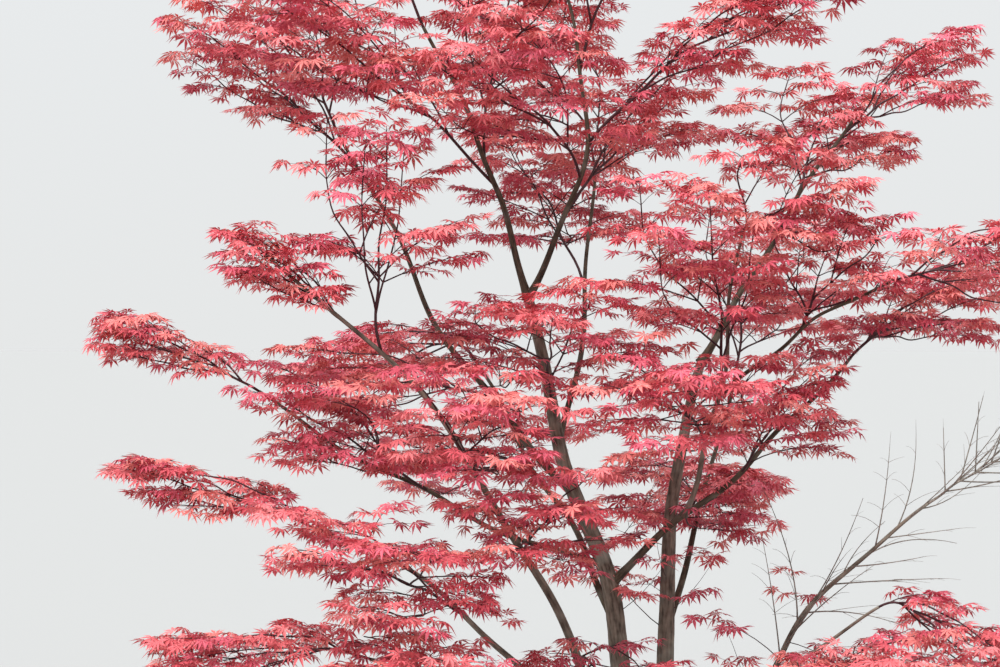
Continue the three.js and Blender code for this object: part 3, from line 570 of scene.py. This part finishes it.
def grow_pairs(parents, spaces, rule, seed):
    """Opposite pairs of finer shoots on each shoot, in its own level plane, and one at its tip.

    Its length is the least plus a share of what is left of its parent, times a seeded spread.
    """
    pairs = np.maximum(1, np.round(parents.length * (1 - rule["bare"]) / rule["step"]).astype(int))
    owner, order = counted(pairs * 2)
    pair, hand = order // 2, np.where(order % 2, 1.0, -1.0)
    key = owner * 1.7 + seed
    s = rule["bare"] + (1 - rule["bare"]) * (pair + PAIR["move"] * chance(key, pair)) / pairs[owner]
    along, outward = stand_out(parents, s, owner, hand, mix(*PAIR["roll"], chance(key, pair + 0.5)))
    angle = np.radians(rule["splay"] + rule["spread"] * (chance(key, order + 9) - 0.5))[:, None]
    way = along * np.cos(angle) + outward * np.sin(angle)
    left = parents.length[owner] * (1 - s)
    length = (rule["least"] + rule["share"] * left) * mix(*PAIR["share"], chance(key, order + 21))
    lift = mix(*PAIR["bend"], chance(key, order + 33)) - PAIR["level"] * way[:, 2]
    paired = Shoots(parents.mass[owner], parents.spray[owner], parents.point(s, owner), unit(way),
                    UP * lift[:, None], length)
    count = len(pairs)
    tips = Shoots(parents.mass, parents.spray, parents.point(1), parents.direction(1),
                  np.tile(UP * PAIR["tip_bend"], (count, 1)),
                  np.full(count, rule["least"] * PAIR["at_tip"]))
    finer = together(paired, tips)
    shorten(finer, spaces, rule["longest"], PAIR["step"], rule["least"] * PAIR["shortest"], PAIR["ease"])
    return finer.thicken(rule["longest"], rule["radius"])


def hang_leaves(twigs, seed):
    """Opposite leaves at nodes along each twig and three at its tip.

    Returns each leaf's mass, twig, node, stalk end, blade axis, blade normal, size and curl.
    The axis is the stalk's level direction turned down by the droop, and the normal is rolled
    about it.
    """
    pairs = np.maximum(1, np.round(twigs.length * (1 - LEAF["bare"]) / LEAF["step"]).astype(int))
    owner, order = counted(pairs * 2 + 3)
    key = owner * 1.3 + seed
    at_tip = order < 3
    pair = np.maximum(order - 3, 0) // 2
    hand = np.where(at_tip, order - 1.0, np.where(order % 2, 1.0, -1.0))
    s = np.where(at_tip, 1.0, LEAF["bare"] + (1 - LEAF["bare"]) * (pair + LEAF["first"]) / pairs[owner])
    along, outward = stand_out(twigs, s, owner, hand, mix(*LEAF["twist"], chance(key, pair + 0.7)))
    splay = np.where(at_tip, LEAF["splay"] - LEAF["tip_splay"], LEAF["splay"])
    angle = np.radians(splay + LEAF["spread"] * (chance(key, order + 5) - 0.5))[:, None]
    way = unit(along * np.cos(angle) + outward * np.sin(angle) + UP * LEAF["lift"])
    node = twigs.point(s, owner)
    smaller = np.where(at_tip & (order == 1), LEAF["middle"], 1)
    size = mix(*LEAF["size"], chance(key, order + 11)) * smaller
    base = node + way * mix(*LEAF["stalk"], chance(key, order + 17))[:, None]
    level = unit(way * (1, 1, LEAF["flat"]))
    droop = np.radians(mix(*LEAF["droop"], chance(key, order + 29)))[:, None]
    axis = unit(level * np.cos(droop) - UP * np.sin(droop))
    upper = unit(UP - dot(UP, axis) * axis)
    tilt = np.radians(LEAF["roll"] * (2 * chance(key, order + 37) - 1))[:, None]
    normal = upper * np.cos(tilt) + np.cross(axis, upper) * np.sin(tilt)
    curl = mix(*LEAF["curl"], chance(key, order + 43))
    return {"mass": twigs.mass[owner], "twig": owner, "node": node, "base": base, "axis": axis,
            "normal": normal, "size": size, "curl": curl}


def leaf_mesh(leaves):
    """Blades of seven pointed lobes and a three-sided stalk for each leaf.

    A lobe is a kite from the stalk's end: its sides stand about half way along, its midrib is
    folded down between them, and its tip is lowered by the leaf's curl. It has four triangles,
    or two without a midrib in the small lobes. Returns points, faces, the count of one leaf's
    faces, and which leaves are kept: those that stay within reach of the box.
    """
    size = leaves["size"][:, None]
    base, node, axis, normal = (leaves[key] for key in ("base", "node", "axis", "normal"))
    across = np.cross(normal, axis)
    points, corners = [base], []
    for number, (degrees, reach, half) in enumerate(LOBES + SMALL_LOBES):
        turn = np.radians(degrees)
        way = axis * np.cos(turn) + across * np.sin(turn)
        aside = (across * np.cos(turn) - axis * np.sin(turn)) * half * size
        sink = leaves["curl"][:, None] * reach
        middle = base + size * (way * LOBE_WIDEST * reach - normal * LOBE_SINK * sink)
        edge = middle + size * normal * LEAF["fold"]
        tip = base + size * (way * reach - normal * sink)
        a = len(points)
        if number < len(LOBES):
            points += [edge - aside, middle, edge + aside, tip]
            corners += [(0, a, a + 1), (0, a + 1, a + 2), (a, a + 3, a + 1), (a + 1, a + 3, a + 2)]
        else:
            points += [edge - aside, edge + aside, tip]
            corners += [(0, a, a + 2), (0, a + 2, a + 1)]
    thin = unit(np.cross(base - node, UP + axis * STALK_LEAN))
    thick = unit(np.cross(thin, base - node))
    stalk = len(points)
    for number in range(STALK_SIDES):
        turn = np.radians(90 + 360 / STALK_SIDES * number)
        points.append(node + STALK_RADIUS * (np.cos(turn) * thin + np.sin(turn) * thick))
        corners.append((stalk + number, stalk + (number + 1) % STALK_SIDES, 0))
    points, corners = np.stack(points, 1), np.array(corners)
    held = within_box(points, PROUD).all(1)
    points = points[held]
    faces = corners[None] + (np.arange(len(points)) * points.shape[1])[:, None, None]
    return points.reshape(-1, 3), faces.reshape(-1, 3), len(corners), held


def circles(side, top, sides):
    """The angles round a circle, and unit circles in the planes of the given directions."""
    around = np.arange(sides) / sides * 2 * np.pi
    ring = side[..., None, :] * np.cos(around)[:, None] + top[..., None, :] * np.sin(around)[:, None]
    return around, ring


def ring_faces(rings, sides):
    """Faces of one closed tube: quads between rings and a fan at each end's own centre point."""
    here = np.arange(sides)
    after = (here + 1) % sides
    start = np.arange(rings - 1)[:, None] * sides
    quads = np.stack([start + here, start + after, start + sides + after, start + sides + here], -1)
    last = (rings - 1) * sides
    fans = np.concatenate([
        np.stack([after, here, np.full(sides, rings * sides)], -1),
        np.stack([last + here, last + after, np.full(sides, rings * sides + 1)], -1)])
    return quads.reshape(-1, 4), fans


def tube_mesh(centres, radii, sides):
    """Closed tubes along rows of points, all with as many rings.

    A ring is a circle of the row's radius at its point, square to the mean direction of the
    steps before and after it. Each end is closed by a point at its own centre.
    """
    count, rings, _ = centres.shape
    along = unit(np.gradient(centres, axis=1))
    lean = np.where(np.abs(along[..., 2:3]) > STEEP, EAST, UP)
    lean = np.broadcast_to(lean[:, :1], along.shape)
    side = unit(np.cross(lean, along))
    _, ring = circles(side, np.cross(along, side), sides)
    points = centres[:, :, None] + radii[..., None, None] * ring
    points = np.concatenate([
        points.reshape(count, rings * sides, 3), centres[:, :1], centres[:, -1:]], 1)
    quads, fans = ring_faces(rings, sides)
    offset = (np.arange(count) * points.shape[1])[:, None, None]
    return (points.reshape(-1, 3), (quads[None] + offset).reshape(-1, 4),
            (fans[None] + offset).reshape(-1, 3))


def stem_tubes(paths, foot, tip, sides):
    """Tubes along whole paths, tapering evenly from foot to tip."""
    run = np.linspace(0, 1, STEM_RINGS)
    centres = np.array([path.point(run) for path in paths])
    return tube_mesh(centres, np.tile(mix(foot, tip, run), (len(paths), 1)), sides)


def shoot_tubes(shoots, rings, sides):
    """Tubes of the given fineness along shoots, tapering evenly from foot to tip."""
    run = np.linspace(0, 1, rings)
    centres = np.stack([shoots.point(s) for s in run], 1)
    return tube_mesh(centres, mix(shoots.radius[:, :1], shoots.radius[:, 1:], run), sides)


def join(parts):
    """Points and faces of several bodies as one, each face number moved past the points before."""
    points, faces, start = [], [], 0
    for body in parts:
        points.append(body[0])
        faces += [face + start for face in body[1:]]
        start += len(body[0])
    return np.concatenate(points), faces


def new_object(name, data):
    """A new object in the scene."""
    item = bpy.data.objects.new(name, data)
    bpy.context.scene.collection.objects.link(item)
    return item


def add_piece(name, points, faces, materials, nodes, shades=None, smooth=True, grain=None):
    """Puts arrays into a new mesh object that rides on the root and replaces the named nodes."""
    mesh = bpy.data.meshes.new(name)
    corners = np.concatenate([face.ravel() for face in faces]).astype(np.int32)
    totals = np.concatenate([np.full(len(face), face.shape[1]) for face in faces])
    starts = (np.cumsum(totals) - totals).astype(np.int32)
    mesh.vertices.add(len(points))
    mesh.vertices.foreach_set("co", points.astype(np.float32).ravel())
    mesh.loops.add(len(corners))
    mesh.loops.foreach_set("vertex_index", corners)
    mesh.polygons.add(len(totals))
    mesh.polygons.foreach_set("loop_start", starts)
    mesh.polygons.foreach_set("use_smooth", np.full(len(totals), smooth))
    for material in materials:
        mesh.materials.append(material)
    if shades is not None:
        mesh.polygons.foreach_set("material_index", shades.astype(np.int32))
    if grain is not None:
        layer = mesh.attributes.new("grain", "FLOAT_VECTOR", "POINT")
        layer.data.foreach_set("vector", grain.astype(np.float32).ravel())
    mesh.update(calc_edges=True)
    piece = new_object(name, mesh)
    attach(piece, "root")
    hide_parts(*nodes)


def new_material(name, roughness, specular):
    """A material of a given roughness and specular level, with its shader."""
    material = bpy.data.materials.new(name)
    material.use_nodes = True
    shader = material.node_tree.nodes["Principled BSDF"]
    shader.inputs["Roughness"].default_value = roughness
    shader.inputs["Specular IOR Level"].default_value = specular
    return material, shader


def plain(name, colour, roughness, specular=0.4):
    """A material of one plain base colour."""
    material, shader = new_material(name, roughness, specular)
    shader.inputs["Base Color"].default_value = (*colour, 1)
    return material


def new_node(tree, kind, values=None, **settings):
    """A new node in a tree, with its settings and the values of its inputs."""
    node = tree.nodes.new(kind)
    for name, value in settings.items():
        setattr(node, name, value)
    for name, value in (values or {}).items():
        node.inputs[name].default_value = value
    return node


def connect(tree, *links):
    """Links outputs of nodes to inputs of others, by their names or numbers."""
    for source, output, target, entry in links:
        tree.links.new(source.outputs[output], target.inputs[entry])


def bark_group():
    """Bark on grain coordinates: mottled light and dark, darker fissures along the grain."""
    group = bpy.data.node_groups.new("bark_mottle", "ShaderNodeTree")
    for name, way, kind in (
        ("Grain", "INPUT", "Vector"), ("Dark", "INPUT", "Color"), ("Light", "INPUT", "Color"),
        ("Fissure Scale", "INPUT", "Float"), ("Lichen Amount", "INPUT", "Float"),
        ("Color", "OUTPUT", "Color"), ("Height", "OUTPUT", "Float"),
    ):
        group.interface.new_socket(name, in_out=way, socket_type="NodeSocket" + kind)
    given = new_node(group, "NodeGroupInput")
    out = new_node(group, "NodeGroupOutput")
    mottle = new_node(group, "ShaderNodeTexNoise", {"Scale": 30, "Detail": 5})
    stretch = new_node(group, "ShaderNodeMapping", {"Scale": (1, 1, 0.16)})
    fissure = new_node(group, "ShaderNodeTexNoise", {"Detail": 4})
    patches = new_node(group, "ShaderNodeTexNoise", {"Scale": 11, "Detail": 6})
    lichen_edge = new_node(group, "ShaderNodeMapRange", {"From Min": 0.5, "From Max": 0.72})
    lichen_share = new_node(group, "ShaderNodeMath", operation="MULTIPLY")
    tone = new_node(group, "ShaderNodeMath", {1: 0.55}, operation="MULTIPLY_ADD")
    spread = new_node(group, "ShaderNodeMapRange", {"From Min": 0.55, "From Max": 0.98})
    ground = new_node(group, "ShaderNodeMix", data_type="RGBA")
    final = new_node(group, "ShaderNodeMix", {"B": (*LICHEN, 1)}, data_type="RGBA")
    connect(
        group,
        (given, "Grain", mottle, "Vector"), (given, "Grain", patches, "Vector"),
        (given, "Grain", stretch, "Vector"), (stretch, "Vector", fissure, "Vector"),
        (given, "Fissure Scale", fissure, "Scale"),
        (mottle, "Fac", tone, 0), (fissure, "Fac", tone, 2), (tone, 0, spread, "Value"),
        (spread, "Result", ground, "Factor"), (given, "Dark", ground, "A"),
        (given, "Light", ground, "B"), (patches, "Fac", lichen_edge, "Value"),
        (lichen_edge, "Result", lichen_share, 0), (given, "Lichen Amount", lichen_share, 1),
        (lichen_share, 0, final, "Factor"), (ground, "Result", final, "A"),
        (final, "Result", out, "Color"), (tone, 0, out, "Height"))
    return group


def bark_material(name, group, dark, light, lichen_amount, fissure_scale, bump):
    """Bark from the mottle group on the piece's grain attribute, with a fine bump."""
    material, shader = new_material(name, roughness=0.86, specular=0.25)
    tree = material.node_tree
    grain = new_node(tree, "ShaderNodeAttribute", attribute_name="grain")
    pattern = new_node(tree, "ShaderNodeGroup", {
        "Dark": (*dark, 1), "Light": (*light, 1), "Lichen Amount": lichen_amount,
        "Fissure Scale": fissure_scale}, node_tree=group)
    raised = new_node(tree, "ShaderNodeBump", {"Strength": bump, "Distance": 1.5 * MM})
    connect(tree, (grain, "Vector", pattern, "Grain"), (pattern, "Color", shader, "Base Color"),
            (pattern, "Height", raised, "Height"), (raised, "Normal", shader, "Normal"))
    return material


def relief(around, along, seed, depth):
    """Bark relief as a share of the radius: long ridges, low lumps and rings at old buds.

    Ridges and lumps are sines of whole turns around plus a rate along. A ring is a narrow
    bell once in about every tenth of a metre.
    """
    total = np.zeros(np.broadcast(around, along).shape)
    for k, (turns, rate, share) in enumerate(RIDGES):
        total += share * np.sin(turns * around + rate * along + 6.3 * chance(seed, k))
    spacing = BUD_SPACING + BUD_SPREAD * chance(seed, 8)
    off = ((along / spacing + chance(seed, 9)) % 1 - 0.5) * spacing
    ring = np.exp(-(off / BUD_WIDTH) ** 2)
    return 1 + depth * total + BUD_HEIGHT * depth * ring


def limb_mesh(path, thick, seed, sides, step, depth, collar):
    """The surface of one limb: rings around its path, with relief, a collar and a closed tip.

    The radius runs from foot to tip by a power of the way along, grows toward the foot by the
    collar times a falling exponential, and is multiplied by the relief. Grain coordinates are
    the bare ring's offsets and the length along.
    """
    length = path.length()
    rings = max(FEWEST_RINGS, int(length / step))
    t = np.linspace(0, 1, rings)
    centre, _, side, top = path.frame(t)
    run = t * length
    radius = mix(thick[0], thick[1], t ** TAPER)
    radius = radius * (1 + collar * np.exp(-run / (COLLAR_REACH * thick[0])))
    around, ring = circles(side, top, sides)
    spread = radius[:, None] * relief(around[None], run[:, None], seed, depth)
    points = (centre[:, None] + spread[..., None] * ring).reshape(-1, 3)
    shift = seed * GRAIN_SHIFT
    grain = np.stack([
        radius[:, None] * np.cos(around), radius[:, None] * np.sin(around),
        np.broadcast_to(run[:, None], spread.shape) + shift], -1).reshape(-1, 3)
    points = np.concatenate([points, centre[[0, -1]]])
    grain = np.concatenate([grain, [[0, 0, shift], [0, 0, length + shift]]])
    quads, caps = ring_faces(rings, sides)
    return points, quads, caps, grain


def root_crown():
    """The root crown: its profile carried round, swollen toward each root, with bark relief.

    The radius at a height is the profile's, times 1 plus the swell times the cosine of five
    turns, faded out toward the top.
    """
    profile = np.array(CROWN_PROFILE, float) * MM
    walk = np.concatenate([[0], np.cumsum(np.linalg.norm(np.diff(profile, axis=0), axis=1))])
    fine = np.linspace(0, walk[-1] * CROWN_CLOSE, CROWN_RINGS)
    radius, height = np.interp(fine, walk, profile[:, 0]), np.interp(fine, walk, profile[:, 1])
    around = np.arange(CROWN_SIDES) / CROWN_SIDES * 2 * np.pi
    top = CROWN_PROFILE[-1][1] * MM
    fade = (1 - height / top)[:, None]
    swell = 1 + CROWN_SWELL * fade * np.cos(CROWN_ROOTS * -around + CROWN_TURN)
    bumps = relief(around[None], height[:, None] * 2, CROWN_SEED, CROWN_RELIEF)
    spread = radius[:, None] * swell * bumps
    lift = np.broadcast_to(height[:, None], spread.shape)
    points = np.stack([spread * np.cos(around), spread * np.sin(around), lift], -1).reshape(-1, 3)
    points = np.concatenate([points, [[0, 0, 0], [0, 0, top]]])
    quads, fans = ring_faces(CROWN_RINGS, CROWN_SIDES)
    return points, quads, fans, points


def dress_limbs(limbs):
    """One bark mesh for each limb, and the root crown with the trunk."""
    for seed, (name, (path, thick)) in enumerate(limbs.items()):
        stout = thick[0] > STOUT
        mesh = limb_mesh(path, thick, seed, *(STOUT_BARK if stout else SLIM_BARK))
        material = STEM_BARK if stout or name.endswith("_stem") else BOUGH_BARK
        parts = [mesh, root_crown()] if name == "trunk" else [mesh]
        points, faces = join([part[:3] for part in parts])
        add_piece("bark_" + name, points, faces, [material], [name],
                  grain=np.concatenate([part[3] for part in parts]))


def dress_masses(spaces, limbs):
    """One piece of twigs and one of leaves for each mass, with the sparse shoots in theirs."""
    branches = grow_branches(spaces)
    twigs = grow_pairs(branches, spaces, TWIG, seed=3)
    sparse = together(*(
        along_limb(limbs[stem][0], spaces.named[SPARSE_MASS]["index"], SPARSE_SEED + number, *rule,
                   SPARSE_RADIUS) for number, (stem, *rule) in enumerate(SPARSE)))
    branches = together(branches, sparse)
    twigs = together(twigs, grow_pairs(sparse, None, SPARSE_TWIG, seed=9))
    leaves = hang_leaves(twigs, seed=5)
    of_spray, of_twig = chance(twigs.spray * 0.7, 13), chance(np.arange(len(twigs.mass)), 4)
    tint = of_spray * SPRAY_TINT + of_twig * (1 - SPRAY_TINT)
    for space in spaces.leafy:
        name, index = space["name"], space["index"]
        own_branches = Shoots(**vars(branches)).keep(branches.mass == index)
        own_twigs = Shoots(**vars(twigs)).keep(twigs.mass == index)
        points, faces = join([
            stem_tubes([space["path"]], space["foot"], STEM_TIP, STEM_SIDES),
            stem_tubes(space["forks"], FORK_FOOT, FORK_TIP, FORK_SIDES),
            shoot_tubes(own_branches, *BRANCH_TUBE), shoot_tubes(own_twigs, *TWIG_TUBE)])
        add_piece("twigs_" + name, points, faces, [TWIG_RED], [name])
        own = {key: value[leaves["mass"] == index] for key, value in leaves.items()}
        points, faces, per_leaf, held = leaf_mesh(own)
        shade = (tint[own["twig"][held]] * len(LEAF_SHADES)).astype(int)
        add_piece("leaves_" + name, points, [faces], LEAF_SHADES, [name],
                  shades=np.repeat(shade, per_leaf), smooth=False)


def dress_dry_twigs(spaces, limbs):
    """The bare twigs at the dry limb's tip and along its outer half, as one piece."""
    space = spaces.named[LEAFLESS]
    index = space["index"]
    at_tip = shorten(grow_dry_twigs(space), spaces, DRY_LONGEST, DRY_STEP, DRY_SHORTEST)
    on_limb = along_limb(limbs[space["carrier"]][0], index, index, *DRY_SHOOTS)
    fine = [grow_pairs(at_tip, spaces, DRY_FINE, seed=8),
            grow_pairs(on_limb, None, DRY_FINE, seed=12)]
    for twigs in fine:
        twigs.keep(chance(np.arange(len(twigs.length)), 6) < DRY_LEFT)
    points, faces = join([
        stem_tubes([space["path"]], space["foot"], DRY_TIP, STEM_SIDES),
        shoot_tubes(at_tip, *DRY_TUBE), shoot_tubes(fine[0], *DRY_FINE_TUBE),
        shoot_tubes(on_limb, *DRY_LIMB_TUBE), shoot_tubes(fine[1], *DRY_FINE_TUBE)])
    add_piece("twigs_bare", points, faces, [DRY_BARK], [LEAFLESS], grain=points)


def lay_floor():
    """A plain pale floor."""
    half = FLOOR_SIDE / 2
    mesh = bpy.data.meshes.new("floor")
    mesh.from_pydata([(-half, -half, 0), (half, -half, 0), (half, half, 0), (-half, half, 0)], [],
                     [(0, 1, 2, 3)])
    mesh.materials.append(plain("pale_floor", (0.36, 0.36, 0.355), 0.9, 0.2))
    floor = new_object("floor", mesh)


def light_sky():
    """A world that runs from the horizon's colour to the zenith's by the sine of the height."""
    world = bpy.data.worlds.new("soft_room")
    bpy.context.scene.world = world
    bpy.context.scene.view_settings.view_transform = "Standard"
    world.use_nodes = True
    tree = world.node_tree
    place = new_node(tree, "ShaderNodeTexCoord")
    height = new_node(tree, "ShaderNodeSeparateXYZ")
    rise = new_node(tree, "ShaderNodeMapRange", {"From Max": SKY_RISE})
    blend = new_node(tree, "ShaderNodeMix", {"A": (*HORIZON, 1), "B": (*ZENITH, 1)}, data_type="RGBA")
    connect(tree, (place, "Generated", height, "Vector"), (height, "Z", rise, "Value"),
            (rise, "Result", blend, "Factor"), (blend, "Result", tree.nodes["Background"], "Color"))


def soft_sun(name, toward, strength, colour):
    """A wide, soft sun that shines towards a direction."""
    data = bpy.data.lights.new(name, "SUN")
    data.energy, data.color, data.angle = strength, colour, np.radians(SUN_ANGLE)
    way = unit(np.array(toward))
    turn = (np.arccos(-way[2]), 0, np.arctan2(way[1], way[0]) - np.pi / 2)
    new_object(name, data).rotation_euler = turn


def set_camera():
    """A level camera at the photograph's viewing angle."""
    data = bpy.data.cameras.new("camera")
    data.lens, data.sensor_width = LENS, SENSOR
    camera = new_object("camera", data)
    camera.location, camera.rotation_euler = EYE, (np.pi / 2, 0, 0)
    bpy.context.scene.camera = camera


limbs = grow_limbs()
spaces = Spaces([space_of(index, mass, limbs) for index, mass in enumerate(MASSES)])
for space in spaces.leafy:
    space["forks"] = forks_of(space)

bark = bark_group()
STEM_BARK = bark_material("stem_bark", bark, (0.06, 0.046, 0.036), (0.26, 0.21, 0.165), 0.45, 120, 0.7)
BOUGH_BARK = bark_material("bough_bark", bark, (0.034, 0.026, 0.018), (0.13, 0.1, 0.07), 0.3, 160, 0.4)
DRY_BARK = bark_material("dry_twig_bark", bark, (0.11, 0.095, 0.08), (0.34, 0.3, 0.26), 0.2, 200, 0.3)
TWIG_RED = plain("young_twig_maroon", (0.055, 0.014, 0.018), 0.6)
LEAF_SHADES = [
    plain("leaf_light_coral", (0.78, 0.2, 0.21), 0.5),
    plain("leaf_coral", (0.71, 0.13, 0.148), 0.5),
    plain("leaf_rose", (0.65, 0.1, 0.15), 0.5),
    plain("leaf_red", (0.62, 0.085, 0.11), 0.5),
    plain("leaf_salmon", (0.76, 0.2, 0.185), 0.5),
    plain("leaf_crimson", (0.5, 0.055, 0.09), 0.52),
]

dress_limbs(limbs)
dress_masses(spaces, limbs)
dress_dry_twigs(spaces, limbs)
lay_floor()
light_sky()
soft_sun("key", (0.42, 0.6, -0.9), 2.9, (1.0, 0.98, 0.95))
soft_sun("top", (-0.15, -0.1, -1.0), 1.9, (0.95, 0.98, 1.0))
set_camera()
